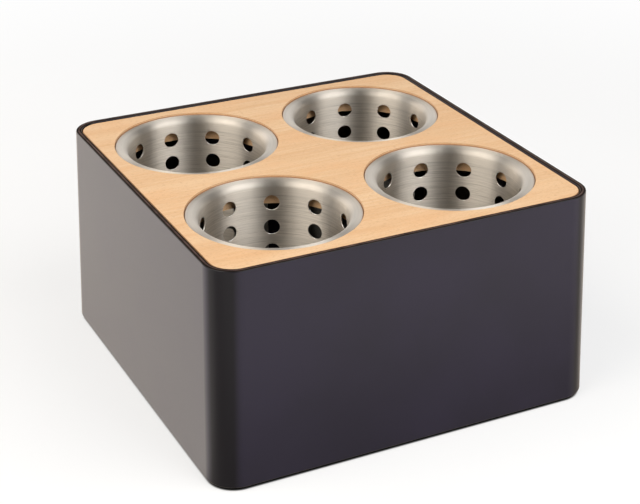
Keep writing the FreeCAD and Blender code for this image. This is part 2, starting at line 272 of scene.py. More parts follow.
class Bench:
    """A material or a world being wired: short calls for the nodes that the finishes use."""

    # The mixing node's names repeat, so its share, its two colours and its result go by number.
    MIX_INPUTS = (0, 6, 7)
    MIX_RESULT = 2

    def __init__(self, owner: bpy.types.Material | bpy.types.World) -> None:
        """Gives a material or a world an empty node tree.

        Args:
            owner: The material or the world.
        """
        owner.use_nodes = True
        self.owner = owner
        self.tree = owner.node_tree
        self.tree.nodes.clear()

    def node(self, kind: str, inputs: Inputs | None = None, **settings: object) -> bpy.types.Node:
        """Adds a node.

        Args:
            kind: The type of the node.
            inputs: Values or sockets for its inputs, by their names.
            settings: Values for the node's own properties.

        Returns:
            The node.
        """
        made = self.tree.nodes.new(kind)
        for name, value in settings.items():
            setattr(made, name, value)
        for name, value in (inputs or {}).items():
            self.feed(made.inputs[name], value)
        return made

    def feed(self, target: Socket, value: object) -> None:
        """Links a socket to a target, or sets the target to a plain value.

        Args:
            target: The input to feed.
            value: A socket, a number or a colour.
        """
        if isinstance(value, bpy.types.NodeSocket):
            self.tree.links.new(value, target)
        elif isinstance(value, tuple) and target.type == "RGBA":
            target.default_value = (*value, 1.0)
        else:
            target.default_value = value

    def place(self) -> Socket:
        """Where the shaded point is, in its object's own frame."""
        return self.node("ShaderNodeTexCoord").outputs["Object"]

    def turned_out(self) -> Socket:
        """The direction that the surface faces, in the object's own frame."""
        return self.node("ShaderNodeTexCoord").outputs["Normal"]

    def split(self, vector: Socket) -> list[Socket]:
        """The three parts of a vector."""
        return list(self.node("ShaderNodeSeparateXYZ", {"Vector": vector}).outputs)

    def seen(self) -> Socket:
        """1 for a ray from the camera, or one that gloss or glass sends on, and 0 for any other."""
        path = self.node("ShaderNodeLightPath").outputs
        return self.most(path["Is Camera Ray"], path["Is Glossy Ray"], path["Is Transmission Ray"])

    def math(self, operation: str, *values: object) -> Socket:
        """Works out numbers in the node tree.

        Args:
            operation: The name of what is worked out.
            values: The numbers or sockets that it is worked out from.

        Returns:
            The result.
        """
        made = self.node("ShaderNodeMath", operation=operation)
        for target, value in zip(made.inputs, values):
            self.feed(target, value)
        return made.outputs[0]

    def plus(self, *values: object) -> Socket:
        """The sum of two or more numbers or sockets."""
        return reduce(lambda first, second: self.math("ADD", first, second), values)

    def times(self, *values: object) -> Socket:
        """The product of two or more numbers or sockets."""
        return reduce(lambda first, second: self.math("MULTIPLY", first, second), values)

    def most(self, *values: object) -> Socket:
        """The largest of two or more numbers or sockets."""
        return reduce(lambda first, second: self.math("MAXIMUM", first, second), values)

    def rest(self, share: Socket) -> Socket:
        """What a share leaves of 1."""
        return self.math("SUBTRACT", 1.0, share)

    def noise(self, vector: Socket, grain: Grain) -> Socket:
        """Adds smooth noise.

        Args:
            vector: Where it is read.
            grain: Its size and roughness.

        Returns:
            The noise's value, from 0 to 1.
        """
        if grain.stretch != EVEN:
            stretched = self.node("ShaderNodeVectorMath", operation="MULTIPLY")
            self.feed(stretched.inputs[0], vector)
            self.feed(stretched.inputs[1], grain.stretch)
            vector = stretched.outputs[0]
        inputs = {"Vector": vector, "Scale": grain.waves, "Detail": grain.detail,
                  "Roughness": grain.roughness}
        return self.node("ShaderNodeTexNoise", inputs).outputs["Fac"]

    def fit(self, value: Socket, reach: Range, amount: Range = UNIT) -> Socket:
        """Moves a value smoothly from one range to another, and holds it at the ends.

        Args:
            value: The value.
            reach: Where the first range starts and ends.
            amount: The results at these two.

        Returns:
            The result.
        """
        ends = {"Value": value, "From Min": reach[0], "From Max": reach[1],
                "To Min": amount[0], "To Max": amount[1]}
        return self.node("ShaderNodeMapRange", ends, interpolation_type="SMOOTHSTEP").outputs["Result"]

    def laid(self, vector: Socket, layer: Layer) -> Socket:
        """The amount of a layer at a place."""
        return self.fit(self.noise(vector, layer.grain), layer.reach, layer.amount)

    def mix(self, share: object, first: object, second: object) -> Socket:
        """Mixes two colours.

        Args:
            share: The share of the second colour, from 0 to 1.
            first: The first colour.
            second: The second colour.

        Returns:
            The mixed colour.
        """
        made = self.node("ShaderNodeMix", data_type="RGBA")
        for number, value in zip(self.MIX_INPUTS, (share, first, second)):
            self.feed(made.inputs[number], value)
        return made.outputs[self.MIX_RESULT]

    def bump(self, height: Socket, distance: float, strength: float = 1.0) -> Socket:
        """Tilts the surface by a height.

        Args:
            height: The height, from 0 to 1.
            distance: How far 1 stands above 0, in metres.
            strength: The share of the tilt that is used.

        Returns:
            The tilted normal.
        """
        inputs = {"Height": height, "Distance": distance, "Strength": strength}
        return self.node("ShaderNodeBump", inputs).outputs["Normal"]

    def finish(self, inputs: Inputs) -> bpy.types.Material:
        """Ends the material in one principled shader.

        Args:
            inputs: Values or sockets for the shader's inputs, by their names.

        Returns:
            The material.
        """
        shader = self.node("ShaderNodeBsdfPrincipled", inputs)
        output = self.node("ShaderNodeOutputMaterial")
        self.tree.links.new(shader.outputs["BSDF"], output.inputs["Surface"])
        return self.owner


@dataclass(frozen=True)
class Finish:
    """What every finish has: the name of its material, and the way that it is built."""

    name: str

    def material(self) -> bpy.types.Material:
        """Builds the finish.

        Returns:
            The material.
        """
        bench = Bench(bpy.data.materials.new(self.name))
        return bench.finish(self.wired(bench, bench.place()))

    def wired(self, bench: Bench, place: Socket) -> Inputs:
        """Wires the finish's nodes.

        Args:
            bench: The material's bench.
            place: Where the shaded point is, in its object's own frame.

        Returns:
            Values and sockets for the shader's inputs, by their names.
        """
        raise NotImplementedError


@dataclass(frozen=True)
class SatinCoat(Finish):
    """Satin black powder coat: a fine, shallow orange peel with a soft sheen, and a painted shade round the
    corners, where its colour is darker and its coat thinner.
    """

    colour: Colour = (0.0145, 0.0102, 0.0265)
    # painted shade: the darker colour of the rounded corners
    corner: Colour = (0.0065, 0.005, 0.008)
    darker: float = 0.86
    lighter: float = 1.16
    roughness: float = 0.33
    density: float = 1.3
    sheen: float = 0.33
    dust: Colour = (1.0, 0.72, 0.45)
    turn_reach: Range = (1.0, 0.91)
    corner_shade_thinning: float = 0.68
    drift: Grain = Grain(14.0, detail=3.0)
    drift_reach: Range = (0.25, 0.75)
    drift_rough: Range = (-0.02, 0.02)
    speck: Layer = Layer(Grain(2600.0, detail=1.0), amount=(-0.03, 0.03))
    peel: Grain = Grain(1 / (0.9 * MM))
    peel_height: float = 0.004 * MM

    def shaded_corners(self, bench: Bench) -> Socket:
        """Tells the rounded corners, which get a painted shade, from the flat walls.

        Args:
            bench: The coat's bench.

        Returns:
            1 where the surface turns from one wall to the next, and 0 where it faces along an axis.
        """
        across, deep, _ = bench.split(bench.turned_out())
        facing = bench.most(bench.math("ABSOLUTE", across), bench.math("ABSOLUTE", deep))
        return bench.fit(facing, self.turn_reach)

    def wired(self, bench: Bench, place: Socket) -> Inputs:
        """The coat's speckle, its peel, and the painted shade round its corners: a darker colour and a
        thinner coat.

        Args:
            bench: The material's bench.
            place: Where the shaded point is.

        Returns:
            What goes into the shader's inputs.
        """
        drift = bench.noise(place, self.drift)
        shaded_corners = self.shaded_corners(bench)
        colour = bench.mix(bench.fit(drift, MIDDLE), shaded(self.colour, self.darker),
                           shaded(self.colour, self.lighter))
        rough = bench.plus(bench.fit(drift, self.drift_reach, self.drift_rough),
                           bench.laid(place, self.speck), self.roughness)
        return {
            # the darker colour and the thinner coat of the corners are a painted shade
            "Base Color": bench.mix(shaded_corners, colour, self.corner), "Roughness": rough, "IOR": self.density,
            "Normal": bench.bump(bench.noise(place, self.peel), self.peel_height),
            "Coat Weight": bench.rest(bench.times(shaded_corners, self.corner_shade_thinning)), "Coat IOR": self.density,
            "Coat Roughness": self.roughness, "Sheen Weight": self.sheen, "Sheen Roughness": self.roughness,
            "Sheen Tint": self.dust,
        }


@dataclass(frozen=True)
class RimPaintedLight(Finish):
    """The rim's fold in painted light: a dull edge, brown-black as a painted shade along the rim, or lighter
    as a painted highlight along its crest, with lighter patches of wear.
    """

    colour: Colour = (0.007, 0.004, 0.0025)
    rubbed: Colour = (0.014, 0.008, 0.005)
    roughness: float = 0.6
    density: float = 1.12
    wear: Layer = Layer(Grain(60.0, detail=4.0, roughness=0.6), reach=(0.32, 0.62))
    grain: Grain = Grain(1800.0)
    grain_rough: Range = (-0.05, 0.05)
    grain_height: float = 0.004 * MM

    def wired(self, bench: Bench, place: Socket) -> Inputs:
        """The edge's wear and its fine grain.

        Args:
            bench: The material's bench.
            place: Where the shaded point is.

        Returns:
            What goes into the shader's inputs.
        """
        grain = bench.noise(place, self.grain)
        return {
            "Base Color": bench.mix(bench.laid(place, self.wear), self.colour, self.rubbed),
            "Roughness": bench.plus(bench.fit(grain, MIDDLE, self.grain_rough), self.roughness),
            "Normal": bench.bump(grain, self.grain_height), "IOR": self.density,
        }


@dataclass(frozen=True)
class OiledBeech(Finish):
    """Pale oiled beech with its grain along X: soft bands, and the short dark flecks of its rays."""

    early: Colour = (0.82, 0.55, 0.315)
    late: Colour = (0.74, 0.445, 0.222)
    fleck: Colour = (0.52, 0.27, 0.12)
    blush: Colour = (0.80, 0.46, 0.22)
    # painted shade: the darker brown of the arrises, by the rim and round the holes
    arris: Colour = (0.30, 0.115, 0.04)
    roughness: float = 0.46
    bands: Grain = Grain(detail=4.0, roughness=0.62, stretch=(2.2, 62.0, 62.0))
    band_share: float = 0.62
    streaks: Grain = Grain(detail=3.0, roughness=0.6, stretch=(30.0, 540.0, 540.0))
    tone_reach: Range = (0.36, 0.66)
    sway: Layer = Layer(Grain(stretch=(3.0, 9.0, 9.0)), (0.35, 0.75), (0.0, 0.22))
    cloud: Layer = Layer(Grain(detail=3.0, roughness=0.55, stretch=(16.0, 34.0, 34.0)),
                         (0.42, 0.72), (0.0, 0.6))
    rays: Layer = Layer(Grain(detail=1.0, stretch=(330.0, 2100.0, 1500.0)), (0.58, 0.70), (0.0, 0.55))
    pores: Layer = Layer(Grain(detail=0.0, stretch=(900.0, 5200.0, 5200.0)), (0.60, 0.78), (0.0, 0.25))
    arris_starts: Range = (0.985, 0.85)
    arris_ends: Range = (0.05, 0.4)
    arris_shade_share: float = 0.8
    streak_rough: Range = (-0.04, 0.05)
    streak_height: float = 0.5
    ray_depth: float = 0.6
    relief: float = 0.02 * MM
    relief_share: float = 0.6

    def arris_shade_mask(self, bench: Bench) -> Socket:
        """Finds the arrises, where a painted shade darkens the wood, by how level the surface lies.

        Args:
            bench: The wood's bench.

        Returns:
            1 on a rounded arris, and 0 on the level top and on the upright sides.
        """
        _, _, level = bench.split(bench.turned_out())
        return bench.times(bench.fit(level, self.arris_starts), bench.fit(level, self.arris_ends))

    def wired(self, bench: Bench, place: Socket) -> Inputs:
        """The wood's bands, streaks, rays and pores, and the painted shade on its arrises.

        Args:
            bench: The material's bench.
            place: Where the shaded point is.

        Returns:
            What goes into the shader's inputs.
        """
        streaks = bench.noise(place, self.streaks)
        tone = bench.plus(bench.times(bench.noise(place, self.bands), self.band_share),
                          bench.times(streaks, 1 - self.band_share))
        rays = bench.laid(place, self.rays)
        colour = bench.mix(bench.fit(tone, self.tone_reach), self.early, self.late)
        for share, tint in (
            (bench.laid(place, self.sway), self.late),
            (bench.laid(place, self.cloud), self.blush),
            (rays, self.fleck),
            (bench.laid(place, self.pores), self.fleck),
            # painted shade on the arrises
            (bench.times(self.arris_shade_mask(bench), self.arris_shade_share), self.arris),
        ):
            colour = bench.mix(share, colour, tint)
        height = bench.math("SUBTRACT", bench.times(streaks, self.streak_height),
                            bench.times(rays, self.ray_depth))
        return {
            "Base Color": colour,
            "Roughness": bench.plus(bench.fit(streaks, MIDDLE, self.streak_rough), self.roughness),
            "Normal": bench.bump(height, self.relief, self.relief_share),
        }


@dataclass(frozen=True)
class SpunSteel(Finish):
    """Stainless steel brushed round the object's Z axis: fine scratches that stretch the reflections."""

    colour: Colour = (0.76, 0.70, 0.62)
    darker: float = 0.80
    # painted shade: the darker colour of the wall's outer face, down in the board's bore
    outside: Colour = (0.24, 0.23, 0.21)
    scored: Colour = (0.40, 0.35, 0.29)
    # painted highlight: the brighter colour of the holes' cut edges
    cut_edge_highlight: Colour = (0.92, 0.89, 0.84)
    roughness: float = 0.5
    anisotropy: float = 0.93
    quarter_turn: float = 0.25
    wall: Range = (49.2 * MM, 49.4 * MM)
    flare: Range = (-7.0 * MM, -10.5 * MM)
    cut_reach: Range = (0.95, 0.70)
    fine: Grain = Grain(detail=2.0, roughness=0.6, stretch=(26.0, 26.0, 5200.0))
    fine_share: float = 0.6
    broad: Grain = Grain(detail=3.0, roughness=0.6, stretch=(9.0, 9.0, 900.0))
    scratch_reach: Range = (0.66, 0.30)
    scratch_shade: Range = (0.35, 1.0)
    scratch_rough: Range = (0.05, -0.05)
    scratch_depth: Range = (0.3, 1.0)
    relief: float = 0.006 * MM
    relief_share: float = 0.7
    scores: Layer = Layer(Grain(detail=3.0, roughness=0.7, stretch=(48.0, 48.0, 1700.0)),
                          (0.50, 0.70), (0.0, 0.62))
    cloud: Layer = Layer(Grain(40.0, detail=3.0), amount=(-0.02, 0.03))

    def wired(self, bench: Bench, place: Socket) -> Inputs:
        """The steel's brushed rings, its scores, the painted shade on its outer face and the painted
        highlight on its cut edges.

        Args:
            bench: The material's bench.
            place: Where the shaded point is.

        Returns:
            What goes into the shader's inputs.
        """
        across, deep, up = bench.split(place)
        reach = bench.math("SQRT", bench.plus(bench.times(across, across), bench.times(deep, deep)))
        parts = {"X": across, "Y": deep, "Z": bench.plus(up, reach)}
        rings = bench.node("ShaderNodeCombineXYZ", parts).outputs[0]
        scratch = bench.plus(bench.times(bench.noise(rings, self.fine), self.fine_share),
                             bench.times(bench.noise(rings, self.broad), 1 - self.fine_share))
        wall = bench.fit(up, self.flare)
        colour = self.colour
        for share, tint in (
            (bench.times(bench.fit(scratch, self.scratch_reach), bench.fit(wall, UNIT, self.scratch_shade)),
             shaded(self.colour, self.darker)),
            (bench.times(bench.laid(rings, self.scores), wall), self.scored),
            # painted shade on the outer face of the wall
            (bench.times(bench.fit(reach, self.wall), wall), self.outside),
            # painted highlight on the cut edges of the holes
            (bench.times(self.cut(bench, across, deep, reach), wall), self.cut_edge_highlight),
        ):
            colour = bench.mix(share, colour, tint)
        rough = bench.plus(bench.fit(scratch, MIDDLE, self.scratch_rough), self.roughness,
                           bench.laid(place, self.cloud))
        height = bench.times(scratch, bench.fit(wall, UNIT, self.scratch_depth))
        return {
            "Base Color": colour, "Metallic": 1.0, "Roughness": rough,
            "Normal": bench.bump(height, self.relief, self.relief_share),
            "Anisotropic": self.anisotropy, "Anisotropic Rotation": self.quarter_turn,
            "Tangent": bench.node("ShaderNodeTangent", direction_type="RADIAL", axis="Z").outputs[0],
        }

    def cut(self, bench: Bench, across: Socket, deep: Socket, reach: Socket) -> Socket:
        """Finds the cut edges of the holes in the wall, which get a painted highlight.

        Args:
            bench: The steel's bench.
            across: The place along X.
            deep: The place along Y.
            reach: The distance from the axis.

        Returns:
            1 where the surface doesn't face the axis or away from it, and 0 where it does.
        """
        facing_across, facing_deep, _ = bench.split(bench.turned_out())
        radial = bench.plus(bench.times(across, facing_across), bench.times(deep, facing_deep))
        return bench.fit(bench.math("ABSOLUTE", bench.math("DIVIDE", radial, reach)), self.cut_reach)


@dataclass(frozen=True)
class PlatedSteel(Finish):
    """Bright zinc plating, slightly clouded."""

    colour: Colour = (0.60, 0.61, 0.62)
    darker: float = 0.72
    roughness: float = 0.30
    cloud: Grain = Grain(420.0, detail=3.0)
    cloud_rough: Range = (-0.06, 0.08)
    relief: Grain = Grain(1500.0)
    relief_height: float = 0.004 * MM

    def wired(self, bench: Bench, place: Socket) -> Inputs:
        """The plating's clouds and its fine grain.

        Args:
            bench: The material's bench.
            place: Where the shaded point is.

        Returns:
            What goes into the shader's inputs.
        """
        cloud = bench.noise(place, self.cloud)
        return {
            "Base Color": bench.mix(bench.fit(cloud, MIDDLE), shaded(self.colour, self.darker), self.colour),
            "Roughness": bench.plus(bench.fit(cloud, MIDDLE, self.cloud_rough), self.roughness),
            "Normal": bench.bump(bench.noise(place, self.relief), self.relief_height), "Metallic": 1.0,
        }


@dataclass(frozen=True)
class MouldedRubber(Finish):
    """Matt black rubber with a fine moulded grain and a little dust."""

    colour: Colour = (0.007, 0.007, 0.007)
    lighter: float = 2.2
    roughness: float = 0.72
    gloss: float = 0.15
    dust: Grain = Grain(260.0, detail=4.0, roughness=0.6)
    dust_reach: Range = (0.35, 0.8)
    dust_rough: Range = (-0.05, 0.06)
    relief: Grain = Grain(2200.0)
    relief_height: float = 0.02 * MM

    def wired(self, bench: Bench, place: Socket) -> Inputs:
        """The rubber's dust and its moulded grain.

        Args:
            bench: The material's bench.
            place: Where the shaded point is.

        Returns:
            What goes into the shader's inputs.
        """
        dust = bench.noise(place, self.dust)
        share = bench.fit(dust, self.dust_reach)
        return {
            "Base Color": bench.mix(share, self.colour, shaded(self.colour, self.lighter)),
            "Roughness": bench.plus(bench.fit(dust, MIDDLE, self.dust_rough), self.roughness),
            "Normal": bench.bump(bench.noise(place, self.relief), self.relief_height),
            "Specular IOR Level": self.gloss,
        }


# ---------------------------------------------------------------- pieces of the caddy


class BandFinish(Enum):
    """The band's finishes, by their places among its materials."""

    COAT = 0
    EDGE = 1
    CREST = 2


@dataclass
class Housing:
    """The black band of folded sheet: four walls that spread to the foot, hemmed double at the rim.

    Its coat ends a little below the rim's top, where a brown-black edge begins as a painted shade, and the
    crest is a lighter line along the middle of the rim, a painted highlight.
    """

    sheet: float = 2.0 * MM
    hem_depth: float = 16.0 * MM
    spread: float = 4.5 * MM
    corner_radius: float = 20.0 * MM
    edge_round: float = 0.8 * MM
    coat_end: float = 0.16 * MM
    crest_start: float = 1.5 * MM
    crest_end: float = 2.6 * MM
    # painted highlight: the crest's lighter colours, with lighter patches of wear
    crest_highlight: Colour = (0.040, 0.024, 0.020)
    crest_highlight_rubbed: Colour = (0.11, 0.070, 0.060)
    corner_steps: int = 20
    wall_steps: int = 12
    rim_steps: int = 5
    fold_steps: int = 4
    low: float = field(init=False)
    top: float = field(init=False)
    half_rim: float = field(init=False)

    def __post_init__(self) -> None:
        """Reads the band's height and width from the frame."""
        lowest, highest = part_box("outer_shell")
        self.low = lowest.z
        self.top = highest.z
        lean = self.spread / (self.top - self.low)
        # The widest place of the solid is where the lower edge's round begins.
        widest_up = self.edge_round * (1 - math.sin(math.atan(lean)))
        self.half_rim = highest.x - self.spread + lean * widest_up

    def spread_at(self, height: float) -> float:
        """How much further out a wall stands at a height than at the rim."""
        return self.spread * (self.top - height) / (self.top - self.low)

    def outline(self, inset: float, height: float) -> list[tuple[Vector, Vector]]:
        """The band's outline at a height, a distance inside its outer face.

        Args:
            inset: The distance inwards.
            height: The height.

        Returns:
            The outline's points and their level outward directions, anticlockwise from the right.
        """
        reach = self.half_rim + self.spread_at(height) - inset
        radius = self.corner_radius - inset
        line = []
        for quarter in range(len(Corner)):
            middle = math.radians(QUARTER * (quarter + 0.5))
            centre = Vector((math.copysign(reach - radius, math.cos(middle)),
                             math.copysign(reach - radius, math.sin(middle)), height))
            for turn in span(QUARTER * quarter, QUARTER * (quarter + 1), self.corner_steps):
                outward = ray_at(math.radians(turn))
                line.append((centre + radius * outward, outward))
        return line

    def section(self) -> list[Step]:
        """The wall's section, round and back to the start.

        Returns:
            The steps, with each one's inset from the outer face as its reach outwards.
        """
        rise = self.edge_round
        rim = 2 * self.sheet
        hem_low = self.top - self.hem_depth
        outer = [Step(0, height, 1, 0) for height in span(self.low + rise, self.top - rise, self.wall_steps)]
        top_out = arc_steps((rise, self.top - rise), rise, 2 * QUARTER, QUARTER, self.rim_steps)
        crest = [Step(inset, self.top, 0, 1) for inset in (self.crest_start, self.crest_end)]
        top_in = arc_steps((rim - rise, self.top - rise), rise, QUARTER, 0, self.rim_steps)
        fold = arc_steps((rim - rise, hem_low + rise), rise, 0, -QUARTER, self.fold_steps)
        root = [Step(self.sheet, hem_low, -SLANT, -SLANT)]
        foot_in = arc_steps((self.sheet - rise, self.low + rise), rise, 0, -QUARTER, self.fold_steps)
        foot_out = arc_steps((rise, self.low + rise), rise, -QUARTER, -2 * QUARTER, self.fold_steps)
        rounded = [Step(step.out, step.up, -step.normal_out, step.normal_up)
                   for step in top_out + crest + top_in + fold + root + foot_in + foot_out]
        return outer[1:-1] + rounded

    def build(self) -> bpy.types.Object:
        """Builds the band's mesh.

        Returns:
            The object that shows it.
        """
        skin = Skin()
        rows = [[skin.add(point, step.facing(outward)) for point, outward in self.outline(step.out, step.up)]
                for step in self.section()]
        for i, row in enumerate(rows):
            skin.strip(rows[i - 1], row)
        return skin.piece("housing_band")

    def dress(self) -> bpy.types.Object:
        """Builds the band, coats it and sets it in place of its solid.

        Returns:
            The band.
        """
        band = self.build()
        finishes = {
            BandFinish.COAT: SatinCoat("satin_black_coat"),
            # painted shade: the brown-black edge along the rim
            BandFinish.EDGE: RimPaintedLight("shade_rim_edge"),
            # painted highlight: the lighter crest along the middle of the rim
            BandFinish.CREST: RimPaintedLight("highlight_rim_crest", self.crest_highlight, self.crest_highlight_rubbed),
        }
        for finish in BandFinish:
            band.data.materials.append(finishes[finish].material())
        section = self.section()
        across = len(band.data.polygons) // len(section)
        for face in band.data.polygons:
            row = face.index // across
            face.material_index = self.finish_between(section[row - 1], section[row]).value
        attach(band, "housing")
        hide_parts("outer_shell")
        return band

    def finish_between(self, first: Step, second: Step) -> BandFinish:
        """Tells the finish between two steps of the section.

        Args:
            first: The one step.
            second: The step after it.

        Returns:
            The finish of the faces between them.
        """
        if min(first.up, second.up) <= self.top - self.coat_end:
            return BandFinish.COAT
        on_crest = (first.out, second.out) == (self.crest_start, self.crest_end)
        return BandFinish.CREST if on_crest else BandFinish.EDGE


@dataclass
class Board:
    """The beech board with its four stepped round holes."""

    housing: Housing
    side_gap: float = 0.6 * MM
    edge_round: float = 0.8 * MM
    arris: float = 0.25 * MM
    cup_pitch: float = CUP_PITCH
    rebate_radius: float = 57.65 * MM
    through_radius: float = 53.6 * MM
    rebate_depth: float = 2.1 * MM
    deck_shares: tuple[float, ...] = (0.0, 0.4, 0.75)
    edge_steps: int = 22
    corner_steps: int = 14
    middle_steps: int = 24
    brim_steps: int = 5
    arris_steps: int = 3
    low: float = field(init=False)
    top: float = field(init=False)
    reach: float = field(init=False)
    corner_radius: float = field(init=False)

    def __post_init__(self) -> None:
        """Reads the board's height and width from the frame."""
        lowest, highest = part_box("beech_top")
        self.low = lowest.z
        self.top = highest.z
        self.reach = highest.x
        self.corner_radius = self.housing.corner_radius - 2 * self.housing.sheet - self.side_gap

    def stations(self) -> list[tuple[Vector, Vector | None]]:
        """Points round the back right quarter of the board, from the middle of the back edge.

        Returns:
            Each point, with the board's outward direction there, or None on a line to the next quarter.
        """
        reach, radius = self.reach, self.corner_radius
        straight = reach - radius
        right, back = Vector((1, 0, 0)), Vector((0, 1, 0))
        line: list[tuple[Vector, Vector | None]] = []
        line += [(Vector((x, reach, 0)), back) for x in span(0, straight, self.edge_steps)[:-1]]
        for turn in span(QUARTER, 0, self.corner_steps):
            outward = ray_at(math.radians(turn))
            line.append((Vector((straight, straight, 0)) + radius * outward, outward))
        line += [(Vector((reach, y, 0)), right) for y in span(straight, 0, self.edge_steps)[1:]]
        line += [(Vector((x, 0, 0)), None) for x in span(reach, 0, self.middle_steps)[1:]]
        line += [(Vector((0, y, 0)), None) for y in span(0, reach, self.middle_steps)[1:-1]]
        return line

    def bore(self) -> list[Step]:
        """The section of a stepped hole.

        Returns:
            The steps, from the board's top down to its underside.
        """
        ledge, arris, count = self.top - self.rebate_depth, self.arris, self.arris_steps
        rebate, through = self.rebate_radius + arris, self.through_radius + arris
        steps = arc_steps((rebate, self.top - arris), arris, QUARTER, 2 * QUARTER, count)
        steps.append(Step(self.rebate_radius, ledge, -SLANT, SLANT))
        steps += arc_steps((through, ledge - arris), arris, QUARTER, 2 * QUARTER, count)
        steps += arc_steps((through, self.low + arris), arris, 2 * QUARTER, 3 * QUARTER, count)
        return steps

    def quarter(self, skin: Skin, side_x: int, side_y: int) -> None:
        """Adds one quarter of the board, with its hole.

        Args:
            skin: The board's surface.
            side_x: 1 for a quarter on the right and -1 on the left.
            side_y: 1 for a quarter at the back and -1 at the front.
        """
        middle = Vector((self.cup_pitch / 2, self.cup_pitch / 2, 0))
        bore, rise = self.bore(), self.edge_round
        brim = arc_steps((-rise, self.top - rise), rise, 0, QUARTER, self.brim_steps)

        def put(place: Vector, height: float, normal: Vector) -> int:
            """Adds a point of the back right quarter, mirrored into this one.

            Args:
                place: Where it is, seen from above.
                height: The height.
                normal: The surface's outward direction there.

            Returns:
                The point's number.
            """
            point = Vector((side_x * place.x, side_y * place.y, height))
            return skin.add(point, Vector((side_x * normal.x, side_y * normal.y, normal.z)))

        decks, sides = [], []
        for edge, outward in self.stations():
            ray = (edge - middle).normalized()
            start = edge if outward is None else edge - self.edge_round * outward
            hole = middle + (self.rebate_radius + self.arris) * ray
            deck = [put(start.lerp(hole, share), self.top, UP) for share in self.deck_shares]
            deck += [put(middle + step.out * ray, step.up, step.facing(ray)) for step in bore]
            deck.append(put(edge, self.low, -UP if outward is None else outward - UP))
            decks.append(deck)
            if outward is None:
                sides.append(None)
                continue
            side = [put(edge + step.out * outward, step.up, step.facing(outward)) for step in brim]
            sides.append([deck[-1], *side])
        for i, deck in enumerate(decks):
            skin.strip(decks[i - 1], deck, closed=False)
            if sides[i] and sides[i - 1]:
                skin.strip(sides[i - 1], sides[i], closed=False)

    def build(self) -> bpy.types.Object:
        """Builds the board's mesh.

        Returns:
            The object that shows it.
        """
        skin = Skin()
        for side_x in (-1, 1):
            for side_y in (-1, 1):
                self.quarter(skin, side_x, side_y)
        return skin.piece("beech_board")

    def dress(self) -> bpy.types.Object:
        """Builds the board, gives it its wood and sets it in place of its solid.

        Returns:
            The board.
        """
        board = self.build()
        board.data.materials.append(OiledBeech("oiled_beech").material())
        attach(board, "housing")
        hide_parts("beech_top")
        return board


